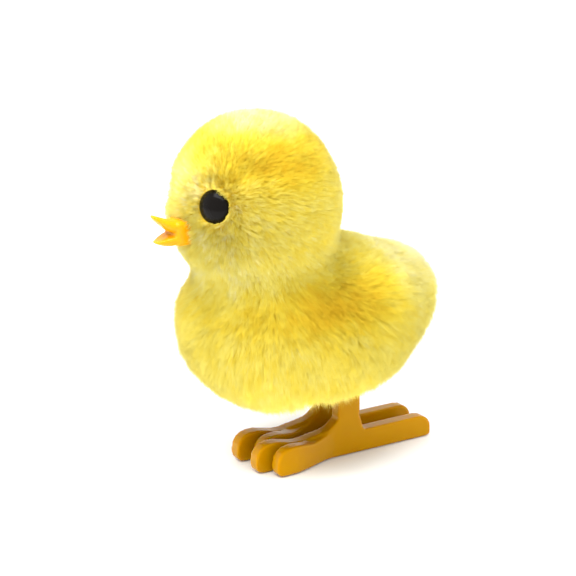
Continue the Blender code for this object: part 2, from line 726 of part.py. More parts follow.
def case_outline(inset):
    """The case's seven-sided side view, each side moved inwards by the inset."""
    corners = [
        Vector((CASE_FRONT_Y + CASE_FRONT_CUT, CASE_FLOOR_Z)),
        Vector((CASE_FLOOR_BACK_Y, CASE_FLOOR_Z)),
        Vector((CASE_BACK_Y, CASE_BACK_LOW_Z)),
        Vector((CASE_BACK_Y, CASE_BACK_HIGH_Z)),
        Vector((CASE_ROOF_BACK_Y, CASE_ROOF_Z)),
        Vector((CASE_FRONT_Y, CASE_ROOF_Z)),
        Vector((CASE_FRONT_Y, CASE_FLOOR_Z + CASE_FRONT_CUT)),
    ]
    outline = []
    for index, corner in enumerate(corners):
        before = (corner - corners[index - 1]).normalized()
        after = (corners[(index + 1) % len(corners)] - corner).normalized()
        inward = Vector((-before.y, before.x)) + Vector((-after.y, after.x))
        outline.append(corner + inward * inset / (1 + before.dot(after)))
    return outline


def make_case():
    inner_x = CASE_HALF_X - CASE_WALL
    room = helper("case_room", plate(case_outline(CASE_WALL), -inner_x, inner_x))
    for index, yz in enumerate(CASE_SCREWS):
        cut(room, helper(f"case_boss_{index}", rod(CASE_BOSS_R, -LONG, LONG, yz, SMALL_ROUND)))
    slot = helper("case_leg_slot", leg_slot(GAP, ROCKER_YZ.y + CASE_WALL + 2 * GAP))
    bearings = (
        ("rocker", ROCKER_YZ, ROCKER_SHAFT_R),
        ("second", SECOND_YZ, PIN_R),
        ("crank", CRANK_YZ, PIN_R),
        ("arbor", ARBOR_YZ, ARBOR_R),
    )
    holes = [
        helper(f"{name}_bearing", rod(radius + GAP, -LONG, LONG, yz, SMALL_ROUND))
        for name, yz, radius in bearings
    ]
    for word, side in SIDES.items():
        tray = plate(case_outline(0), side * SEAM_GAP / 2, side * CASE_HALF_X)
        half = part(f"motor_case_{word}", tray, CASE_PLASTIC)
        cut(half, room, slot, *holes)
        for index, yz in enumerate(CASE_SCREWS):
            bore = rod(SCREW_R + GAP, -LONG, CASE_SCREW_TIP + GAP, yz, PIN_ROUND)
            cut(half, helper(f"case_bore_{index}_{word}", bore))
    for index, yz in enumerate(CASE_SCREWS):
        make_screw(f"motor_screw_{index + 1}", yz, -CASE_HALF_X - GAP, CASE_SCREW_TIP)


# Legs and feet


def make_legs():
    axis = spot(ROCKER_YZ)
    part("rocker_shaft", through_pin(ROCKER_SHAFT_R, ROCKER_YZ), STEEL, axis)
    make_rocker_arm(axis)
    for word, side in SIDES.items():
        middle = side * LEG_X
        near, far = middle - LEG_THICK / 2, middle + LEG_THICK / 2
        strap = box(
            (near, ROCKER_YZ.x - LEG_DEPTH / 2, ANKLE_TOP + GAP),
            (far, ROCKER_YZ.x + LEG_DEPTH / 2, ROCKER_YZ.y),
        )
        leg = part(f"{word}_leg", strap, GOLDEN, axis)
        hub = rod(LEG_HUB_R, near - HUB_PROUD, far + HUB_PROUD, ROCKER_YZ)
        boolean(leg, helper(f"{word}_leg_hub", hub), "UNION")
        boolean(leg, helper(f"{word}_leg_tenon", tenon(middle, 0, ANKLE_TOP + TENON_IN_LEG)), "UNION")
        bore = rod(ROCKER_SHAFT_R + GAP, -LONG, LONG, ROCKER_YZ, SMALL_ROUND)
        cut(leg, helper(f"{word}_leg_bore", bore))
        make_foot(word, middle, axis)


def tenon(middle, room, top):
    half = TENON_HALF + Vector((room, room))
    return box(
        (middle - half.x, ROCKER_YZ.x - half.y, ANKLE_TOP - TENON_LENGTH - room),
        (middle + half.x, ROCKER_YZ.x + half.y, top),
    )


def make_rocker_arm(axis):
    """A slotted lever fixed on the shaft, with the crank's throw pin beside its slot."""
    along = CRANK_YZ - ROCKER_YZ
    across = along.orthogonal().normalized()
    ahead = along.normalized()
    reach = along.length + CRANK_THROW + CRANK_PIN_R + ROCKER_ARM_END
    wide = ROCKER_ARM_HALF
    outline = [
        ROCKER_YZ + across * wide,
        ROCKER_YZ + ahead * reach + across * wide,
        ROCKER_YZ + ahead * reach - across * wide,
        ROCKER_YZ - across * wide,
    ]
    arm = part("rocker_arm", plate(outline, *ROCKER_ARM_X), GEAR_PLASTIC, axis)
    low, high = ROCKER_ARM_X
    hub = rod(ROCKER_ARM_HUB_R, low - HUB_PROUD, high + HUB_PROUD, ROCKER_YZ)
    boolean(arm, helper("rocker_arm_hub", hub), "UNION")
    cut(arm, helper("rocker_arm_bore", rod(ROCKER_SHAFT_R + GAP, -LONG, LONG, ROCKER_YZ, SMALL_ROUND)))
    start = along.length - CRANK_THROW - CRANK_PIN_R - GAP
    end = along.length + CRANK_THROW + CRANK_PIN_R + GAP
    narrow = CRANK_PIN_R + GAP
    slot = [
        ROCKER_YZ + ahead * start + across * narrow,
        ROCKER_YZ + ahead * end + across * narrow,
        ROCKER_YZ + ahead * end - across * narrow,
        ROCKER_YZ + ahead * start - across * narrow,
    ]
    cut(arm, helper("rocker_arm_slot", plate(slot, -LONG, LONG)))


def toe_blade(outline, middle, thick, drift, drift_start):
    """An upright blade whose toe end drifts sideways in an easy curve."""
    bm = plate(outline, middle - thick / 2, middle + thick / 2)
    reach = drift_start - DRIFT_END_Y
    slices = [drift_start - reach * step / TOE_SLICES for step in range(TOE_SLICES + 1)]
    slice_along_y(bm, slices)
    bmesh.ops.triangulate(bm, faces=bm.faces)
    for vert in bm.verts:
        vert.co.x += drift * eased((drift_start - vert.co.y) / reach)
    return bm


def make_foot(word, middle, axis):
    """One moulding serves both feet: a heel bar, a long toe and a shorter outer toe."""
    front = ROCKER_YZ.x - LEG_DEPTH / 2
    back = ROCKER_YZ.x + LEG_DEPTH / 2
    root = ROCKER_YZ.x - TENON_HALF.y - 2 * GAP
    long_toe = rounded(
        [
            (LONG_TOE_Y, 0, TOE_SOLE_R),
            (LONG_TOE_Y, TOE_HIGH, TOE_NOSE_R),
            (LONG_TOE_Y + TOE_FLAT, TOE_HIGH, TOE_TOP_R),
            (LONG_TOE_Y + TOE_TO_INSTEP, INSTEP_LOW, INSTEP_R),
            (front - INSTEP_TO_ANKLE, INSTEP_LOW + INSTEP_RISE, RISE_R),
            (front, ANKLE_TOP, ANKLE_R),
            (back, ANKLE_TOP, ANKLE_R),
            (back + HEEL_STEP, HEEL_HIGH, HEEL_STEP_R),
            (HEEL_Y, HEEL_HIGH, HEEL_R),
            (HEEL_Y, 0, HEEL_STEP_R),
        ]
    )
    short_toe = rounded(
        [
            (SHORT_TOE_Y, SHORT_TOE_LIFT, TOE_SOLE_R),
            (SHORT_TOE_Y, TOE_HIGH, TOE_NOSE_R),
            (SHORT_TOE_Y + TOE_FLAT, TOE_HIGH, TOE_TOP_R),
            (SHORT_TOE_Y + TOE_TO_INSTEP, INSTEP_LOW, SHORT_INSTEP_R),
            (root, INSTEP_LOW + SHORT_INSTEP_RISE, 0),
            (root, SHORT_TOE_LIFT, 0),
        ]
    )
    blade = toe_blade(long_toe, middle, LONG_TOE_THICK, LONG_TOE_DRIFT, front - DRIFT_START)
    foot = part(f"{word}_foot", blade, GOLDEN, axis)
    outer = toe_blade(short_toe, middle, SHORT_TOE_THICK, SHORT_TOE_DRIFT, root)
    boolean(foot, helper(f"{word}_short_toe", outer), "UNION")
    cut(foot, helper(f"{word}_ankle_socket", tenon(middle, GAP, LONG)))


leg_opening = helper("leg_opening", leg_slot(GAP + HEM_ROOM, ROCKER_YZ.y))
stem_opening = helper("stem_opening", rod(KNOB_STEM_R + GAP, -LONG, -CASE_HALF_X, ARBOR_YZ))
make_plush(leg_opening, stem_opening)
make_shell(leg_opening, stem_opening)
make_eyes()
make_beak()
make_case()
make_great_wheel()
make_second_wheel()
make_crank_wheel()
make_legs()
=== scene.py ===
# %% [markdown]
# # A wind-up hopping chick
#
# The real toy is a clockwork motor in a hard shell, dressed in short yellow plush. Two
# long glossy feet stick out below, a small open beak and two bead eyes sit in the fur,
# and a white knob on one side winds the spring. The mechanical model is loaded first and
# stays where it is. This script adds what the eye sees: pile, skin, mouldings and finishes.

# %% Open the mechanical model
import math

import bmesh
import bpy
import numpy as np
from mathutils import Matrix, Vector, noise
from mathutils.kdtree import KDTree


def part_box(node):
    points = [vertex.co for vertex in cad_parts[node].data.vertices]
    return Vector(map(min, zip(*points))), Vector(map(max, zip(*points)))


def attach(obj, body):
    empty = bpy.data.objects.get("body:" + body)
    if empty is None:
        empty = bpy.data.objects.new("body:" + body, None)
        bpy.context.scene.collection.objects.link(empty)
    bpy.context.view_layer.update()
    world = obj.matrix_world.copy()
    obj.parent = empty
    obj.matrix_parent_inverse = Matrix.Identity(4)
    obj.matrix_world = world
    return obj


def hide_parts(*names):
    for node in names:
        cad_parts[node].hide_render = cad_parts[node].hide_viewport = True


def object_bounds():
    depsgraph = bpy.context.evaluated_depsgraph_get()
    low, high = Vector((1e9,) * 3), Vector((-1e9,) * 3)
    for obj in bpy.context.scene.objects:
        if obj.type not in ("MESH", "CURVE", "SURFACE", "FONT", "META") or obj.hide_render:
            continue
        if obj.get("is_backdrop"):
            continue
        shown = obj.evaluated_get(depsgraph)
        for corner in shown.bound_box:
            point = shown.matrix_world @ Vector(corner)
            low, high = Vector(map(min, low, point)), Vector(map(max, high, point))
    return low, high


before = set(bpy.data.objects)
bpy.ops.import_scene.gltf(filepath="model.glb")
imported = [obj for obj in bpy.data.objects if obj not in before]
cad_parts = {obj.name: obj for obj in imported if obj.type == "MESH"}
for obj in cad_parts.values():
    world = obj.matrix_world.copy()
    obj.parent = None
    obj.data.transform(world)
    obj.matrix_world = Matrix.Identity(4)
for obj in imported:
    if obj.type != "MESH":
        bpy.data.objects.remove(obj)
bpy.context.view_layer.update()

MM = 0.001
left_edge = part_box("plush_left")[1].x
right_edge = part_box("plush_right")[0].x
MIDDLE = Vector(((left_edge + right_edge) / 2, 0, 0))
print("the toy's middle plane is at x =", round(MIDDLE.x / MM, 2), "mm")

# %% [markdown]
# ## Camera, floor and light
#
# A small toy on a white table is lit from all round by a white room, with one wide
# softbox overhead. That light has almost no hard shadow, so the pile reads through its own
# shading: pale where it faces up, golden where the strands shade each other.

# %% Camera
VIEW_FROM = math.radians(58)
VIEW_ABOVE = math.radians(18)
VIEW_DISTANCE = 483 * MM
VIEW_TARGET = Vector((-4.35, 1.71, 36.7)) * MM
LENS = 138.9

back = Vector(
    (
        math.sin(VIEW_FROM) * math.cos(VIEW_ABOVE),
        -math.cos(VIEW_FROM) * math.cos(VIEW_ABOVE),
        math.sin(VIEW_ABOVE),
    )
)
camera = bpy.data.objects.new("camera", bpy.data.cameras.new("camera"))
camera.data.lens = LENS
camera.data.clip_start = 0.01
camera.location = VIEW_TARGET + back * VIEW_DISTANCE
camera.rotation_mode = "QUATERNION"
camera.rotation_quaternion = (-back).to_track_quat("-Z", "Y")
bpy.context.scene.collection.objects.link(camera)
bpy.context.scene.camera = camera
bpy.context.scene.view_settings.view_transform = "Standard"

# %% Light
ROOM_STRENGTH = 1.2
SOFTBOX_POWER = 5.6
SOFTBOX_SIDE = 0.5
SOFTBOX_PLACE = Vector((0.10, -0.20, 0.55))

world = bpy.data.worlds.new("white_room")
world.use_nodes = True
room = world.node_tree.nodes["Background"]
room.inputs["Color"].default_value = (1, 1, 1, 1)
room.inputs["Strength"].default_value = ROOM_STRENGTH
bpy.context.scene.world = world

softbox = bpy.data.objects.new("softbox", bpy.data.lights.new("softbox", "AREA"))
softbox.data.size = SOFTBOX_SIDE
softbox.data.energy = SOFTBOX_POWER
softbox.location = SOFTBOX_PLACE
softbox.rotation_mode = "QUATERNION"
softbox.rotation_quaternion = (VIEW_TARGET - SOFTBOX_PLACE).to_track_quat("-Z", "Y")
bpy.context.scene.collection.objects.link(softbox)

# %% [markdown]
# ## Writing shaders as sums
#
# A finish is easier to read as arithmetic than as a list of links. `Wire` stands for a
# node's output, and `+`, `*` and `**` on it add the Math nodes. `Finish.node` makes any other
# node from its type, its settings and its sockets.

# %% Shader helpers
class Wire:
    """A node's output, on which Python arithmetic works."""

    def __init__(self, finish, socket):
        self.finish = finish
        self.socket = socket

    def maths(self, operation, first, second):
        return self.finish.node("ShaderNodeMath", {"operation": operation}, {0: first, 1: second})

    def __add__(self, other):
        return self.maths("ADD", self, other)

    def __radd__(self, other):
        return self.maths("ADD", other, self)

    def __mul__(self, other):
        return self.maths("MULTIPLY", self, other)

    def __rmul__(self, other):
        return self.maths("MULTIPLY", other, self)

    def __pow__(self, other):
        return self.maths("POWER", self, other)

    def beside(self, output):
        """Another output of the same node."""
        return Wire(self.finish, self.socket.node.outputs[output])


class Finish:
    """One material, built node by node around its Principled shader."""

    def __init__(self, name, **constants):
        self.material = bpy.data.materials.new(name)
        self.material.use_nodes = True
        self.tree = self.material.node_tree
        self.shader = self.tree.nodes["Principled BSDF"]
        for socket, value in constants.items():
            self.shader.inputs[socket.replace("_", " ")].default_value = value

    def feed(self, socket, value):
        if isinstance(value, Wire):
            self.tree.links.new(value.socket, socket)
        else:
            socket.default_value = value

    def node(self, kind, settings=None, sockets=None, output=0):
        made = self.tree.nodes.new(kind)
        for name, value in (settings or {}).items():
            if name == "stops":
                self.place_stops(made.color_ramp, value)
            else:
                setattr(made, name, value)
        for name, value in (sockets or {}).items():
            self.feed(made.inputs[name], value)
        return Wire(self, made.outputs[output])

    def place_stops(self, ramp, stops):
        while len(ramp.elements) < len(stops):
            ramp.elements.new(0.5)
        for element, (place, colour) in zip(ramp.elements, stops):
            element.position = place
            element.color = (*colour, 1)

    def ramp(self, share, stops):
        return self.node("ShaderNodeValToRGB", {"stops": stops}, {"Fac": share})

    def mix(self, share, first, second):
        """Two colours mixed; a plain colour is a tuple of three."""
        first, second = (c if isinstance(c, Wire) else (*c, 1) for c in (first, second))
        settings = {"data_type": "RGBA"}
        return self.node("ShaderNodeMix", settings, {0: share, 6: first, 7: second}, 2)

    def place(self, stretch=(1, 1, 1)):
        """Object coordinates in millimetres, stretched along each axis."""
        spot = self.node("ShaderNodeTexCoord", output="Object")
        scale = tuple(s / MM for s in stretch)
        return self.node("ShaderNodeMapping", {}, {"Vector": spot, "Scale": scale})

    def grain(self, per_mm, detail=3.0, stretch=(1, 1, 1)):
        """Noise from 0 to 1 with so many blotches in a millimetre."""
        sockets = {"Vector": self.place(stretch), "Scale": per_mm, "Detail": detail}
        return self.node("ShaderNodeTexNoise", {}, sockets)

    def bump(self, height, strength, distance=0.1):
        sockets = {"Height": height, "Strength": strength, "Distance": distance * MM}
        self.feed(self.shader.inputs["Normal"], self.node("ShaderNodeBump", {}, sockets))

    def paint(self, **wires):
        for socket, value in wires.items():
            self.feed(self.shader.inputs[socket.replace("_", " ")], value)
        return self.material


# %% Floor
FLOOR_TONES = [(0.3, (0.88, 0.88, 0.88)), (0.7, (0.92, 0.92, 0.92))]


def floor_finish():
    finish = Finish("white_table", Roughness=0.6, Specular_IOR_Level=0.1)
    colour = finish.ramp(finish.grain(0.05), FLOOR_TONES)
    return finish.paint(Base_Color=colour)


FLOOR_HALF = 3.0
FLOOR_CELLS = 4
FLOOR_DROP = 0.2 * MM
bm = bmesh.new()
bmesh.ops.create_grid(
    bm, x_segments=FLOOR_CELLS, y_segments=FLOOR_CELLS, size=FLOOR_HALF,
    matrix=Matrix.Translation((0, 0, -FLOOR_DROP)),
)
floor_mesh = bpy.data.meshes.new("table_top")
bm.to_mesh(floor_mesh)
bm.free()
floor = bpy.data.objects.new("table_top", floor_mesh)
floor.data.materials.append(floor_finish())
bpy.context.scene.collection.objects.link(floor)
floor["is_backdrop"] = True

# %% [markdown]
# ## From a bmesh to a finished piece
#
# Every new piece ends the same way: its normals are turned outwards, it gets a mesh, a
# finish, a slot and the body that it rides on. Moulded pieces also pass through a fine
# voxel remesh and a little smoothing, which fuses their shapes and rounds every edge the
# way a mould does.

# %% Piece helpers
MERGE_GAP = 0.001 * MM


def piece(name, bm, material, body, stands_for=()):
    bmesh.ops.remove_doubles(bm, verts=bm.verts, dist=MERGE_GAP)
    bmesh.ops.recalc_face_normals(bm, faces=bm.faces)
    mesh = bpy.data.meshes.new(name)
    bm.to_mesh(mesh)
    bm.free()
    mesh.shade_smooth()
    return finished(name, mesh, material, body, stands_for)


def finished(name, mesh, material, body, stands_for=()):
    mesh.materials.clear()
    mesh.materials.append(material)
    obj = bpy.data.objects.new(name, mesh)
    bpy.context.scene.collection.objects.link(obj)
    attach(obj, body)
    if stands_for:
        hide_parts(*stands_for)
    print(f"{name}: {len(mesh.polygons)} faces on {body}")
    return obj


def remeshed(bm, voxel, turns):
    """The bmesh's shapes fused into one skin of that voxel size, and smoothed so many turns."""
    bmesh.ops.recalc_face_normals(bm, faces=bm.faces)
    mesh = bpy.data.meshes.new("rough_form")
    bm.to_mesh(mesh)
    bm.free()
    rough = bpy.data.objects.new("rough_form", mesh)
    bpy.context.scene.collection.objects.link(rough)
    fuse = rough.modifiers.new("fuse", "REMESH")
    fuse.mode = "VOXEL"
    fuse.voxel_size = voxel * MM
    soften = rough.modifiers.new("soften", "SMOOTH")
    soften.factor = 0.5
    soften.iterations = turns
    graph = bpy.context.evaluated_depsgraph_get()
    settled = bpy.data.meshes.new_from_object(rough.evaluated_get(graph))
    bpy.data.objects.remove(rough)
    settled.shade_smooth()
    return settled


def copy_of(node):
    """A CAD node's shape as a merged bmesh, ready to be worked on."""
    bm = bmesh.new()
    bm.from_mesh(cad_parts[node].data)
    bmesh.ops.remove_doubles(bm, verts=bm.verts, dist=MERGE_GAP)
    return bm


# %% [markdown]
# ## The chick's form
#
# Under the pile the toy is four rounded masses that flow into one another: head, belly,
# chest and rump. Four spheres, stretched, are fused by a voxel remesh, and many smoothing
# turns fill the creases between them. This is the surface of the pile's tips; the knitted
# ground lies one pile height below it, a little less on the head, where the pile is
# clipped shorter. Round the legs the ground is drawn up a little, as a sewn hem is.

# %% Rounded masses
MASSES = {
    "head": ((0, -10.6, 59.3), (19.2, 19.4, 19.8), 0.0),
    "belly": ((0, 2.2, 30.9), (24.2, 27.2, 19.3), 9.4),
    "chest": ((0, -6.1, 32.5), (22.2, 21.4, 19.3), 0.0),
    "rump": ((0, 18.9, 32.4), (14.2, 16.5, 13.8), 19.7),
}
FORM_VOXEL = 1.3
FORM_TURNS = 36
MASS_SEGMENTS, MASS_RINGS = 64, 32
GROUND_TURNS = 3
HEAD_PILE = 2.3
BODY_PILE = 3.4
CROWN_PILE = 0.7
NECK_LOW, NECK_HIGH = 40.0, 50.0
CROWN_LOW, CROWN_HIGH = 68.0, 76.0
HEM_LIFT = 2.6
HEM_SIDE = (13.0, 19.0)
HEM_FRONT = (-11.0, -3.0)
HEM_BACK = (17.0, 22.0)
HEM_FADE = (16.0, 24.0)


def at(x, y, z):
    """A point of the toy in millimetres, x from its middle plane."""
    return MIDDLE + Vector((x, y, z)) * MM


def eased(value, low, high):
    """0 below low, 1 above high, and a smooth step between."""
    share = np.clip((value - low) / (high - low), 0, 1)
    return share * share * (3 - 2 * share)


def chick_form():
    bm = bmesh.new()
    for centre, half, pitch in MASSES.values():
        place = (
            Matrix.Translation(at(*centre))
            @ Matrix.Rotation(math.radians(pitch), 4, "X")
            @ Matrix.Diagonal((*(Vector(half) * MM), 1))
        )
        bmesh.ops.create_uvsphere(
            bm, u_segments=MASS_SEGMENTS, v_segments=MASS_RINGS, radius=1, matrix=place
        )
    return remeshed(bm, FORM_VOXEL, FORM_TURNS)


def pile_height(height):
    """Pile height in millimetres at a height above the floor, also in millimetres."""
    return BODY_PILE + (HEAD_PILE - BODY_PILE) * eased(height, NECK_LOW, NECK_HIGH)


def near_hem(points):
    """1 round the leg opening and 0 elsewhere."""
    across = 1 - eased(np.abs(points[:, 0]), *HEM_SIDE)
    along = eased(points[:, 1], *HEM_FRONT) * (1 - eased(points[:, 1], *HEM_BACK))
    return across * along * (1 - eased(points[:, 2], *HEM_FADE))


form = chick_form()
ground = bmesh.new()
ground.from_mesh(form)
ground.normal_update()
sunk = [v.co - v.normal * float(pile_height(v.co.z / MM)) * MM for v in ground.verts]
lifts = HEM_LIFT * near_hem(np.array([((place - MIDDLE) / MM)[:] for place in sunk]))
for vert, place, lift in zip(ground.verts, sunk, lifts):
    vert.co = place + Vector((0, 0, float(lift) * MM))
for _ in range(GROUND_TURNS):
    bmesh.ops.smooth_vert(
        ground, verts=ground.verts, factor=0.5, use_axis_x=True, use_axis_y=True, use_axis_z=True
    )
bmesh.ops.triangulate(ground, faces=ground.faces)
print("the ground has", len(ground.verts), "points")

# %% [markdown]
# ## Where no pile grows
#
# The ground is cut away where the legs pass through it, and no strand is rooted under the
# eyes, the beak or the knob. These places are read from the mechanical model, so the
# openings follow it.

# %% Openings
def middle_of(*nodes):
    boxes = [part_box(node) for node in nodes]
    low = Vector([min(b[0][k] for b in boxes) for k in range(3)])
    high = Vector([max(b[1][k] for b in boxes) for k in range(3)])
    return (low + high) / 2, (high - low) / 2


LEG_ROOM_X = 1.6
LEG_ROOM_Y = 2.6
legs_middle, legs_half = middle_of("left_leg", "right_leg")
shaft_middle, _ = middle_of("rocker_shaft")
slot_half_x = legs_half.x / MM + LEG_ROOM_X
slot_half_y = legs_half.y / MM + LEG_ROOM_Y
slot_y = shaft_middle.y / MM

knob_middle, _ = middle_of("winding_knob")
knob_yz = Vector((knob_middle.y, knob_middle.z)) / MM
HEAD = Vector(MASSES["head"][0])
EYE_WAY = (8.45, -15.47, 3.42)
EYE_AIM = {
    side: Vector((side * EYE_WAY[0], EYE_WAY[1], EYE_WAY[2])).normalized() for side in (1, -1)
}
EYE_R = 3.7
print("leg opening", round(2 * slot_half_x, 1), "x", round(2 * slot_half_y, 1), "mm")

for axis, place in (
    (0, MIDDLE.x - slot_half_x * MM),
    (0, MIDDLE.x + slot_half_x * MM),
    (1, (slot_y - slot_half_y) * MM),
    (1, (slot_y + slot_half_y) * MM),
):
    direction = [0, 0, 0]
    direction[axis] = 1
    corner = [0, 0, 0]
    corner[axis] = place
    everything = ground.verts[:] + ground.edges[:] + ground.faces[:]
    bmesh.ops.bisect_plane(ground, geom=everything, plane_co=corner, plane_no=direction)


def over_legs(point):
    near_x = abs(point.x - MIDDLE.x) < slot_half_x * MM
    near_y = abs(point.y / MM - slot_y) < slot_half_y
    return near_x and near_y and point.z < HEAD.z * MM / 2


gone = [face for face in ground.faces if over_legs(face.calc_center_median())]
bmesh.ops.delete(ground, geom=gone, context="FACES")
loose = [vert for vert in ground.verts if not vert.link_faces]
bmesh.ops.delete(ground, geom=loose, context="VERTS")
print(len(gone), "faces cut away for the legs")

# %% [markdown]
# ## Pile finish
#
# A strand is coloured deeper golden at its root than at its tip: painted shade deep in the
# pile. No two tufts take the dye alike. Each strand has its own small place on a UV map: U is
# its tone, from golden to pale lemon, and V runs from root to tip. The tone also holds painted
# light on the tops and rims and painted shade on the flanks. The colour then needs only that map.

# %% Pile finish
BAKE_MAP = "OFBake"
# Golden root colour: painted shade deep in the pile.
PILE_ROOT_SHADE = (0.93, 0.63, 0.025)
TONES = [
    (0.0, (0.86, 0.52, 0.015)),
    (0.35, (0.95, 0.74, 0.050)),
    (0.7, (0.98, 0.87, 0.190)),
    (1.0, (1.00, 0.95, 0.520)),
]


def pile_finish():
    finish = Finish("plush_pile", Roughness=0.75, Specular_IOR_Level=0.15, Sheen_Weight=0.4)
    finish.shader.inputs["Sheen Roughness"].default_value = 0.4
    finish.shader.inputs["Sheen Tint"].default_value = (1.0, 0.9, 0.45, 1)
    where = finish.node("ShaderNodeUVMap", {"uv_map": BAKE_MAP})
    parts = finish.node("ShaderNodeSeparateXYZ", {}, {"Vector": where})
    tone, along = parts, parts.beside(1)
    tip = finish.ramp(tone, TONES)
    # Root to tip: painted shade at the root, fading into the tip's tone.
    return finish.paint(Base_Color=finish.mix(along**0.5, PILE_ROOT_SHADE, tip))


def ground_finish():
    finish = Finish("plush_ground", Roughness=0.9, Specular_IOR_Level=0.1)
    weave = finish.grain(3.0, 2.0)
    colour = finish.mix(weave, (0.90, 0.60, 0.03), (0.96, 0.74, 0.07))
    finish.bump(weave, 0.4)
    return finish.paint(Base_Color=colour)


# %% [markdown]
# ## Ground cloth
#
# The ground is a thin knitted sheet, stretched over the shell. Solidify gives it its
# thickness inwards, and the pile is rooted on its outer side. Its area after the cuts is printed.

# %% Ground cloth
CLOTH_THICK = 0.6
flat_area = sum(face.calc_area() for face in ground.faces)
ground_mesh = bpy.data.meshes.new("plush_ground")
ground.to_mesh(ground_mesh)
ground_mesh.shade_smooth()
cloth = finished(
    "plush_ground", ground_mesh, ground_finish(), "body", ("plush_left", "plush_right")
)
thicken = cloth.modifiers.new("cloth_thickness", "SOLIDIFY")
thicken.thickness = CLOTH_THICK * MM
thicken.offset = -1
print("ground cloth", round(flat_area * 1e4, 1), "square centimetres")

# %% [markdown]
# ## Growing the pile
#
# Hair curves would be lost outside this program, so the pile is real geometry: one slim
# three-sided cone, made once and then stretched and set about 440 thousand times. Numpy does the
# placing. Roots are scattered evenly over the ground, each strand belongs to the
# nearest of 26 thousand tufts, and its tip is drawn towards that tuft's tip. The nap
# runs away from the beak on the head, back along the rump and down the sides.

# %% One strand
def strand_shape():
    """A slim cone of unit height and unit radius as arrays of points and triangles."""
    bm = bmesh.new()
    up = Matrix.Translation((0, 0, 0.5))
    bmesh.ops.create_cone(
        bm, cap_ends=True, segments=3, radius1=1, radius2=0, depth=1, matrix=up
    )
    bmesh.ops.remove_doubles(bm, verts=bm.verts, dist=1e-5)
    bmesh.ops.triangulate(bm, faces=bm.faces)
    bm.verts.index_update()
    points = np.array([v.co[:] for v in bm.verts])
    triangles = np.array([[v.index for v in face.verts] for face in bm.faces])
    bm.free()
    return points, triangles


strand_points, strand_triangles = strand_shape()
print("one strand has", len(strand_triangles), "triangles")

# %% Scattering roots
draw = np.random.default_rng(7)
BEAK_BLOCK_TOP = 58.6
BEAK_FRINGE = 0.5
EYE_BARE = 0.93
KNOB_CLEAR = 5.2


def unit(vectors):
    return vectors / np.maximum(np.linalg.norm(vectors, axis=1, keepdims=True), 1e-12)


def surface_arrays():
    """The ground's triangles and its points' normals, in millimetres from the middle plane."""
    points = np.array([(v.co - MIDDLE)[:] for v in ground.verts]) / MM
    normals = np.array([v.normal[:] for v in ground.verts])
    index = {vert: number for number, vert in enumerate(ground.verts)}
    triangles = np.array([[index[v] for v in face.verts] for face in ground.faces])
    return points, normals, triangles


bmesh.ops.triangulate(ground, faces=ground.faces)
ground.normal_update()
skin_points, skin_normals, skin_triangles = surface_arrays()


def scatter(count):
    """Evenly spread random places on the ground: (points, normals)."""
    a, b, c = (skin_points[skin_triangles[:, k]] for k in range(3))
    areas = np.linalg.norm(np.cross(b - a, c - a), axis=1)
    chosen = draw.choice(len(areas), count, p=areas / areas.sum())
    u = np.sqrt(draw.random(count))
    v = draw.random(count)
    shares = np.stack([1 - u, u * (1 - v), u * v], axis=1)[:, :, None]
    corners = skin_triangles[chosen]
    return (skin_points[corners] * shares).sum(1), unit((skin_normals[corners] * shares).sum(1))


def bare(points):
    """True where no strand is rooted."""
    none = np.zeros(len(points), bool)
    for side, aim in EYE_AIM.items():
        out = points - np.array(HEAD)
        along = out @ np.array(aim)
        across = out - along[:, None] * np.array(aim)
        none |= (along > 0) & (np.linalg.norm(across, axis=1) < EYE_R * EYE_BARE)
    beak_low, beak_high = ((corner - MIDDLE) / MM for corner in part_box("beak"))
    inside = (np.abs(points[:, 0]) < beak_high.x - BEAK_FRINGE) & (points[:, 1] < HEAD.y)
    above = points[:, 2] > beak_low.z + BEAK_FRINGE
    none |= inside & above & (points[:, 2] < BEAK_BLOCK_TOP - BEAK_FRINGE)
    off_knob = np.linalg.norm(points[:, 1:] - np.array(knob_yz), axis=1)
    none |= (points[:, 0] < 0) & (off_knob < KNOB_CLEAR)
    return none


# %% Nap, length and tone
CREST = np.array([0.0, -28.0, 58.0])
HEAD_SWEEP = np.array([0, 0.15, -0.35])
DOWN = np.array([0.0, 0.15, -1.0])
BACKWARD = np.array([0.0, 1.0, -0.45])
BACK_RISE = (33, 43)
BACK_START = (-2, 12)
TAIL_START = (22, 32)
TAIL_SHARE = 0.6
HEAD_START = (44, 54)
EYE_OUT = 17
EYE_RUFFLE = (0.2, 1.8)
BEAK_RUFFLE = (3.2, 5.0)
BEAK_RISE = 2.0
FACE_DEPTH = 10


def nap(points):
    """The way the pile is combed, before it is laid along the surface."""
    from_beak = unit(points - CREST)
    head_way = from_beak + HEAD_SWEEP
    high_back = eased(points[:, 2], *BACK_RISE) * eased(points[:, 1], *BACK_START)
    tail = eased(points[:, 1], *TAIL_START) * TAIL_SHARE
    share = np.clip(high_back + tail, 0, 1)[:, None]
    body_way = DOWN * (1 - share) + BACKWARD * share
    on_head = eased(points[:, 2], *HEAD_START)[:, None]
    return unit(head_way * on_head + body_way * (1 - on_head))


def ruffled(points):
    """1 close to an eye or to the beak, where the pile is pushed about, and 0 elsewhere."""
    near = np.zeros(len(points))
    for aim in EYE_AIM.values():
        off = np.linalg.norm(points - (np.array(HEAD) + np.array(aim) * EYE_OUT), axis=1)
        near = np.maximum(near, 1 - eased(off, EYE_R + EYE_RUFFLE[0], EYE_R + EYE_RUFFLE[1]))
    off = np.linalg.norm((points - CREST) * np.array([1, 0, 1]) + [0, 0, BEAK_RISE], axis=1)
    front = points[:, 1] < HEAD.y - FACE_DEPTH
    return np.maximum(near, (1 - eased(off, *BEAK_RUFFLE)) * front)


def laid(ways, normals):
    """Directions pressed flat against the surface."""
    return unit(ways - (ways * normals).sum(1, keepdims=True) * normals)


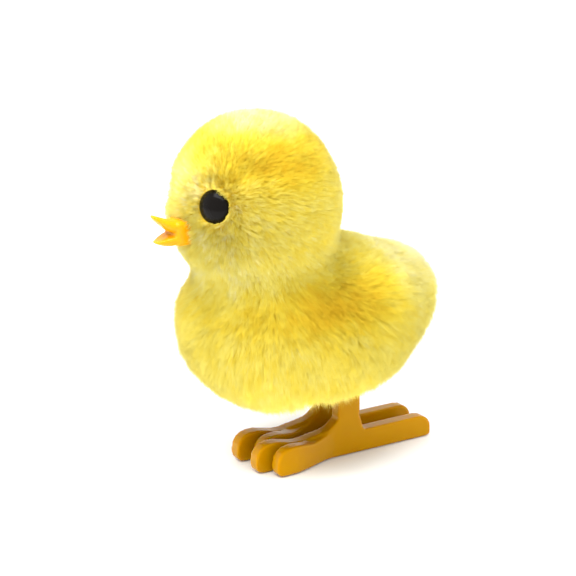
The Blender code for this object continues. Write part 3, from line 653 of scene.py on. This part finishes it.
NOISE_STEP = (17.3, 5.1, 9.7)
NOISE_GAIN = 1.6
EVERYWHERE = (-1000, -999)
MIDDLE_TONE = 0.55
TONE_AND_SHADE_SPOTS = {
    "brow": (-0.42, (-12, 13), (70.5, 4.5)),
    # flank: painted shade, a golden band at mid-body under the head
    "flank": (-0.50, (-3, 15), (40.5, 5.0)),
    "throat": (0.15, (-20, 8), (47, 5)),
    "face": (0.12, (-24, 9), (56, 8)),
}
# Painted light: a paler crown, upper back and tail, on the tops and rims where the light falls.
PAINTED_LIGHT_RIMS = {
    "crown": (0.50, EVERYWHERE, (72, 77)),
    "back": (0.34, (8, 18), (34, 43)),
    "tail": (0.12, (20, 30), EVERYWHERE),
}
# Painted light: a paler forehead, facing the light from above.
FOREHEAD_PAINTED_LIGHT = (0.28, (20, 27), (59, 66))
UNDER_TONE = (0.10, (14, 24))


def blotches(points, size, seed):
    """Smooth noise from about -1 to 1 at each point, with blotches of that size."""
    shift = Vector([seed * step for step in NOISE_STEP])
    return np.array([noise.noise(Vector(p) / size + shift) for p in points]) * NOISE_GAIN


def tone_light_and_shade_of(points):
    """How pale each strand is: golden brow, painted shade on the flank, painted light on crown,
    forehead, back and tail; paler throat, face and bottom.
    """
    y, z = points[:, 1], points[:, 2]
    tones = np.full(len(points), MIDDLE_TONE)
    for weight, (y_mid, y_size), (z_mid, z_size) in TONE_AND_SHADE_SPOTS.values():
        tones += weight * np.exp(-(((y - y_mid) / y_size) ** 2 + ((z - z_mid) / z_size) ** 2))
    for weight, back_way, upward in PAINTED_LIGHT_RIMS.values():
        tones += weight * eased(y, *back_way) * eased(z, *upward)
    weight, forward, upward = FOREHEAD_PAINTED_LIGHT
    tones += weight * eased(-y, *forward) * eased(z, *upward)
    weight, upward = UNDER_TONE
    return tones + weight * (1 - eased(z, *upward))


# %% Growing strands
STRANDS = 440_000
TUFTS = 26_000
PILE_BANDS = (
    "crown", "brow", "cheeks", "neck", "shoulders", "flanks", "waist", "belly", "hem",
)
STRAND_R = 0.055
HEM_TRIM = 0.25
RUFFLE_TURN = 3.0
CREST_LEAN = 0.3
HEAD_LEAN = math.radians(24)
BODY_LEAN = math.radians(40)
CREST_CALM = (5, 18)
TUFT_TURN = (0.18, 0.25, 4.5)
TUFT_LEAN = (0.07, 0.10, 3.0)
TUFT_TONE = (0.06, 0.12, 2.2)
TUFT_TALL = (0.03, 0.05, 5.0)
TUFT_PULL = (0.10, 0.32)
TUFT_TIP = 0.07
TUFT_WIDTH = 0.35
SPARE_ROOTS = 1.06
STRAND_TALL = (0.84, 1.03)
STRAND_LEAN = 0.10
STRAND_TURN = 0.16
STRAND_TONE = 0.06
TONE_ENDS = (0.02, 0.98)
GUARD_SHARE = 0.04
GUARD_TALL = 1.22
LEAST_RISE = 0.45
RUFFLE_SIZE = 1.3
SHADE_LEAN = 0.15


def varied(points, amounts, seed):
    """A random part for each point and a smooth part from (random, smooth, blotch size)."""
    spread, swing, size = amounts
    return draw.normal(0, spread, len(points)) + swing * blotches(points, size, seed)


def grow():
    """Everything about every strand, as a dict of arrays."""
    tuft_root, tuft_normal = scatter(TUFTS)
    tuft = {
        "turn": varied(tuft_root, TUFT_TURN, 1),
        "lean": varied(tuft_root, TUFT_LEAN, 2),
        "tone": varied(tuft_root, TUFT_TONE, 3),
        "pull": draw.uniform(*TUFT_PULL, TUFTS),
        "tall": 1 + varied(tuft_root, TUFT_TALL, 4),
        "tip": draw.normal(0, TUFT_TIP, (TUFTS, 3)),
    }
    tree = KDTree(TUFTS)
    for number, place in enumerate(tuft_root):
        tree.insert(Vector(place), number)
    tree.balance()
    root, normal = scatter(int(STRANDS * SPARE_ROOTS))
    keep = ~bare(root)
    root, normal = root[keep][:STRANDS], normal[keep][:STRANDS]
    of = np.array([tree.find(Vector(place))[1] for place in root])
    count = len(root)
    on_head = eased(root[:, 2], NECK_LOW, NECK_HIGH)
    lean = BODY_LEAN + (HEAD_LEAN - BODY_LEAN) * on_head
    off_crest = np.linalg.norm(root - CREST, axis=1)
    lean = lean * (CREST_LEAN + (1 - CREST_LEAN) * eased(off_crest, *CREST_CALM))
    lean = lean + tuft["lean"][of] + draw.normal(0, STRAND_LEAN, count)
    tall = pile_height(root[:, 2]) + CROWN_PILE * eased(root[:, 2], CROWN_LOW, CROWN_HIGH)
    tall = tall * tuft["tall"][of] * draw.uniform(*STRAND_TALL, count)
    tall = tall * (1 - HEM_TRIM * near_hem(root))
    guard = draw.random(count) < GUARD_SHARE
    tall = np.where(guard, tall * GUARD_TALL, tall)
    return root, normal, of, tuft, tuft_root, tuft_normal, lean, tall


def aims(normals, points, turn, lean):
    """The direction of each strand: its nap turned about the normal and lifted by its lean."""
    flat = laid(nap(points), normals)
    side = np.cross(normals, flat)
    flat = flat * np.cos(turn)[:, None] + side * np.sin(turn)[:, None]
    return unit(normals * np.cos(lean)[:, None] + flat * np.sin(lean)[:, None])


root, normal, of, tuft, tuft_root, tuft_normal, lean, tall = grow()
ruffle = ruffled(root)
strand_turn = tuft["turn"][of] + draw.normal(0, STRAND_TURN, len(root))
strand_turn = strand_turn + RUFFLE_TURN * ruffle * blotches(root, RUFFLE_SIZE, 6)
aim = aims(normal, root, strand_turn, lean)
length = tall / np.maximum(np.cos(lean), LEAST_RISE)
tuft_lean = BODY_LEAN + tuft["lean"]
tuft_aim = aims(tuft_normal, tuft_root, tuft["turn"], tuft_lean)
tuft_spread = (root - tuft_root[of]) * TUFT_WIDTH
gathered = tuft_root[of] + tuft_aim[of] * length[:, None] + tuft_spread
pull = tuft["pull"][of][:, None]
tip = (root + aim * length[:, None]) * (1 - pull) + gathered * pull
# Tone holds painted light and shade over the body, plus random tuft and strand tone.
tone = tone_light_and_shade_of(root) + tuft["tone"][of] + draw.normal(0, STRAND_TONE, len(root))
tone = np.clip(tone, *TONE_ENDS)
shade_normal = unit(normal + tuft["tip"][of] + SHADE_LEAN * aim)
print(len(root), "strands, mean length", round(float(length.mean()), 2), "mm")

# %% Setting strands
SIDE_SHARE = 0.12
TONE_WIDTH = 0.004


def set_strands(chosen):
    """Points, normals and UV of the chosen strands, each the one strand set in its place."""
    start, end = root[chosen][:, None], tip[chosen][:, None]
    across = unit(np.cross(aim[chosen], normal[chosen]))[:, None]
    up = np.cross(aim[chosen], across[:, 0])[:, None]
    x, y, z = (strand_points[None, :, k, None] for k in range(3))
    spine = start * (1 - z) + end * z
    round_it = across * x + up * y
    points = spine + round_it * STRAND_R
    normals = shade_normal[chosen][:, None] + round_it * SIDE_SHARE
    tones = tone[chosen][:, None] + strand_points[None, :, 0] * TONE_WIDTH
    heights = np.broadcast_to(strand_points[None, :, 2], tones.shape)
    uv = np.stack([tones, heights], axis=2)
    return points.reshape(-1, 3), unit(normals.reshape(-1, 3)), uv.reshape(-1, 2)


def pile_mesh(name, chosen):
    points, normals, uv = set_strands(chosen)
    steps = np.arange(len(chosen))[:, None, None] * len(strand_points)
    triangles = (strand_triangles[None] + steps).reshape(-1, 3)
    mesh = bpy.data.meshes.new(name)
    mesh.vertices.add(len(points))
    mesh.vertices.foreach_set("co", (points * MM + np.array(MIDDLE)).astype(np.float32).ravel())
    mesh.loops.add(triangles.size)
    mesh.loops.foreach_set("vertex_index", triangles.astype(np.int32).ravel())
    mesh.polygons.add(len(triangles))
    mesh.polygons.foreach_set("loop_start", np.arange(0, triangles.size, 3, dtype=np.int32))
    layer = mesh.uv_layers.new(name=BAKE_MAP)
    layer.data.foreach_set("uv", uv[triangles.ravel()].astype(np.float32).ravel())
    mesh.update(calc_edges=True)
    mesh.shade_smooth()
    mesh.normals_split_custom_set_from_vertices(normals)
    return mesh


pile_material = pile_finish()
order = np.argsort(-root[:, 2], kind="stable")
for band, chosen in zip(PILE_BANDS, np.array_split(order, len(PILE_BANDS))):
    name = f"plush_pile_{band}"
    finished(name, pile_mesh(name, chosen), pile_material, "body")

# %% [markdown]
# ## Plastics
#
# The feet, beak and eyes are glossy mouldings. Their colour drifts a little with the
# flow of the melt, the gloss is broken by faint handling, and a thin coat gives the
# clean white glints along rounded edges.

# %% Plastic finishes
GLOW_RADIUS = (1.0, 0.45, 0.05)
GLOW_DEPTH = 2.5 * MM


def plastic(name, deep, light, roughness, coat=0.15, gloss=(1, 1, 1), glow=0.0):
    """A moulded plastic: slow colour drift, fine unevenness, and gloss that varies a little."""
    finish = Finish(name, Coat_Weight=coat, Coat_Roughness=0.08, Specular_IOR_Level=0.3)
    finish.shader.inputs["Specular Tint"].default_value = (*gloss, 1)
    finish.shader.inputs["Subsurface Weight"].default_value = glow
    finish.shader.inputs["Subsurface Radius"].default_value = GLOW_RADIUS
    finish.shader.inputs["Subsurface Scale"].default_value = GLOW_DEPTH
    drift = finish.grain(0.12, 2.0, (1, 0.4, 1))
    touch = finish.grain(0.8, 4.0)
    finish.bump(finish.grain(0.35, 2.0), 0.12)
    return finish.paint(
        Base_Color=finish.mix(drift, deep, light), Roughness=touch * 0.16 + (roughness - 0.08)
    )


WARM_GLOSS = (0.8, 0.55, 0.03)
golden = plastic(
    "golden_plastic", (0.40, 0.18, 0.0001), (0.52, 0.25, 0.0002), 0.22, 0.05, WARM_GLOSS, 0.5
)
beak_orange = plastic(
    "beak_plastic", (0.62, 0.26, 0.0005), (0.74, 0.35, 0.005), 0.22, 0.25, WARM_GLOSS, 0.4
)
DIM_GLOSS = (0.3, 0.3, 0.3)
black = plastic(
    "eye_bead", (0.003, 0.002, 0.002), (0.005, 0.004, 0.003), 0.14, 0.0, DIM_GLOSS
)
white = plastic("white_plastic", (0.80, 0.80, 0.77), (0.88, 0.88, 0.86), 0.32)
milky = plastic("milky_plastic", (0.70, 0.74, 0.76), (0.84, 0.87, 0.88), 0.30)
nylon = plastic("gear_nylon", (0.84, 0.82, 0.74), (0.93, 0.91, 0.85), 0.38, 0.0)

# %% Metal finishes
def metal(name, dark, light, roughness, stretch):
    """Drawn or rolled steel, with fine lines along the way it was worked."""
    finish = Finish(name, Metallic=1.0)
    lines = finish.grain(2.0, 5.0, stretch)
    finish.bump(lines, 0.15, 0.02)
    return finish.paint(
        Base_Color=finish.mix(lines, dark, light), Roughness=lines * 0.2 + roughness
    )


steel = metal("steel", (0.42, 0.43, 0.45), (0.68, 0.69, 0.71), 0.22, (0.1, 3, 3))
blued = metal("blued_spring", (0.10, 0.12, 0.18), (0.28, 0.31, 0.38), 0.25, (6, 0.5, 0.5))

# %% [markdown]
# ## Legs and feet
#
# Both feet come from one mould: a heel bar, a long toe and a shorter outer toe, standing
# on edge like blades. The mechanical model has their outline with sharp edges. A copy
# is fused on a fine grid and smoothed, which rounds the edges and fills the crotch of the
# toes as a mould would. On the real toy leg and foot meet at a fine line above the ankle.
# Here a short block bridges the gap between them and both become one skin, without that line.

# %% Legs and feet
MOULD_VOXEL = 0.25
MOULD_TURNS = 9
JOIN_HALF = 0.6
JOIN_IN = 0.15
for side in ("left", "right"):
    bm = copy_of(f"{side}_foot")
    bm.from_mesh(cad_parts[f"{side}_leg"].data)
    leg_low, leg_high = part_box(f"{side}_leg")
    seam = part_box(f"{side}_foot")[1].z
    middle = (leg_low + leg_high) / 2
    size = leg_high - leg_low - Vector((2, 2, 0)) * JOIN_IN * MM
    middle.z, size.z = seam, 2 * JOIN_HALF * MM
    join = Matrix.Translation(middle) @ Matrix.Diagonal((*size, 1))
    bmesh.ops.create_cube(bm, size=1, matrix=join)
    mesh = remeshed(bm, MOULD_VOXEL, MOULD_TURNS)
    nodes = (f"{side}_leg", f"{side}_foot")
    finished(f"{side}_foot_moulding", mesh, golden, "legs", nodes)

# %% [markdown]
# ## Beak
#
# The beak is one orange moulding: a square root that sits in the fur, a thin upper
# mandible whose top sweeps up to its tip, and a scooped lower one. Each mandible is a row of
# rings bridged into a skin; a voxel remesh then fuses them with the root.

# %% Beak
BEAK_ROOT_LOW = (-2.9, -30.7, 53.4)
BEAK_ROOT_HIGH = (2.9, -22.0, 58.6)
UPPER_RINGS = (
    (-28.5, 2.8, 58.8, 55.8),
    (-30.5, 2.8, 58.9, 56.0),
    (-31.7, 2.6, 59.2, 56.5),
    (-32.6, 2.3, 59.55, 57.2),
    (-33.5, 1.9, 59.9, 58.0),
    (-34.3, 1.4, 60.2, 58.8),
    (-34.9, 0.8, 60.35, 59.5),
)
LOWER_RINGS = (
    (-28.5, 2.8, 56.8, 53.2),
    (-30.5, 2.75, 56.8, 53.2),
    (-31.7, 2.4, 56.4, 53.2),
    (-32.6, 2.0, 55.9, 53.4),
    (-33.4, 1.5, 55.4, 53.7),
    (-34.1, 1.0, 55.0, 54.0),
    (-34.6, 0.5, 54.8, 54.3),
)
UPPER_DISH = 0.1
LOWER_DISH = 0.5
DISH_FALL = 0.6
BEAK_ROUNDING = 0.9
BEAK_ROUND_STEPS = 4
BEAK_VOXEL = 0.17
BEAK_TURNS = 4
RING_SIDES = 20


def mandible(bm, rings, dish):
    """Rings of (y, half width, top, bottom), bridged; the dish hollows each ring's top."""
    edges = []
    for y, wide, top, bottom in rings:
        middle = at(0, y, (top + bottom) / 2)
        turn = Matrix.Rotation(math.pi / 2, 4, "X")
        size = Matrix.Diagonal((wide * MM, 1, (top - bottom) / 2 * MM, 1))
        ring = bmesh.ops.create_circle(
            bm, segments=RING_SIDES, radius=1, matrix=Matrix.Translation(middle) @ size @ turn
        )["verts"]
        for vert in ring:
            if vert.co.z > middle.z:
                share = (vert.co.x - middle.x) / (wide * MM)
                vert.co.z -= dish * (top - bottom) * MM * (1 - share * share) * DISH_FALL
        edges.append([e for e in bm.edges if all(v in ring for v in e.verts)])
    for first, second in zip(edges, edges[1:]):
        bmesh.ops.bridge_loops(bm, edges=first + second)
    bmesh.ops.holes_fill(bm, edges=edges[0] + edges[-1], sides=RING_SIDES)


bm = bmesh.new()
low, high = at(*BEAK_ROOT_LOW), at(*BEAK_ROOT_HIGH)
place = Matrix.Translation((low + high) / 2) @ Matrix.Diagonal((*(high - low), 1))
bmesh.ops.create_cube(bm, size=1, matrix=place)
bmesh.ops.bevel(
    bm, geom=bm.edges[:], offset=BEAK_ROUNDING * MM, segments=BEAK_ROUND_STEPS,
    affect="EDGES", profile=0.5, material=-1,
)
mandible(bm, UPPER_RINGS, UPPER_DISH)
mandible(bm, LOWER_RINGS, LOWER_DISH)
beak_mesh = remeshed(bm, BEAK_VOXEL, BEAK_TURNS)
finished("beak_moulding", beak_mesh, beak_orange, "body", ("beak",))

# %% [markdown]
# ## Eyes
#
# An eye is a polished black bead, a shallow dome with a straight rim. It is a turned shape:
# one profile spun about the line it looks along.

# %% Eyes
EYE_SEAT = 15.2
EYE_RIM = 0.6
EYE_LIP = 0.2
EYE_FRONT = 17.7
DOME_STEPS = 14
SPIN_STEPS = 64


def eye_profile():
    rise = EYE_FRONT - EYE_SEAT - EYE_RIM
    dome = [
        (EYE_R * math.sin(turn), EYE_RIM + rise * math.cos(turn))
        for turn in np.linspace(0, math.pi / 2, DOME_STEPS)
    ]
    return dome + [(EYE_R, EYE_LIP), (EYE_R - EYE_LIP, 0), (0, 0)]


for side, word in ((1, "left"), (-1, "right")):
    bm = bmesh.new()
    verts = [bm.verts.new((radius * MM, 0, height * MM)) for radius, height in eye_profile()]
    edges = [bm.edges.new(pair) for pair in zip(verts, verts[1:])]
    bmesh.ops.spin(
        bm, geom=verts + edges, cent=(0, 0, 0), axis=(0, 0, 1), angle=2 * math.pi,
        steps=SPIN_STEPS, use_merge=True,
    )
    look = EYE_AIM[side]
    seat = Matrix.Translation(at(*HEAD) + look * EYE_SEAT * MM)
    bmesh.ops.transform(
        bm, verts=bm.verts, matrix=seat @ look.to_track_quat("Z", "X").to_matrix().to_4x4()
    )
    piece(f"{word}_eye_bead", bm, black, "body", (f"{word}_eye",))

# %% [markdown]
# ## Knob and motor
#
# The knob is a white disc with a flat grip for finger and thumb, fused and rounded in the
# same way as the feet. Shell, motor case, gears, pins and spring hide inside the toy, so the
# mechanical model's own shapes stay, in their real materials.

# %% Knob
KNOB_VOXEL = 0.22
KNOB_TURNS = 5
finished(
    "knob_moulding",
    remeshed(copy_of("winding_knob"), KNOB_VOXEL, KNOB_TURNS),
    white,
    "winding",
    ("winding_knob",),
)

# %% Finishes of the hidden parts
HIDDEN = {
    white: ("shell_left", "shell_right"),
    milky: ("motor_case_left", "motor_case_right"),
    nylon: ("great_wheel", "second_wheel", "crank_wheel", "rocker_arm"),
    blued: ("mainspring",),
    steel: (
        "shell_screw_neck", "shell_screw_chest", "shell_screw_rump", "motor_screw_1",
        "motor_screw_2", "winding_arbor", "ratchet_wheel", "click", "second_pin",
        "crank_axle_pin", "rocker_shaft",
    ),
}
for material, nodes in HIDDEN.items():
    for node in nodes:
        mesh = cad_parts[node].data
        mesh.materials.clear()
        mesh.materials.append(material)
ground.free()
print(sum(len(nodes) for nodes in HIDDEN.values()), "hidden parts have their finishes")

low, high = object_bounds()
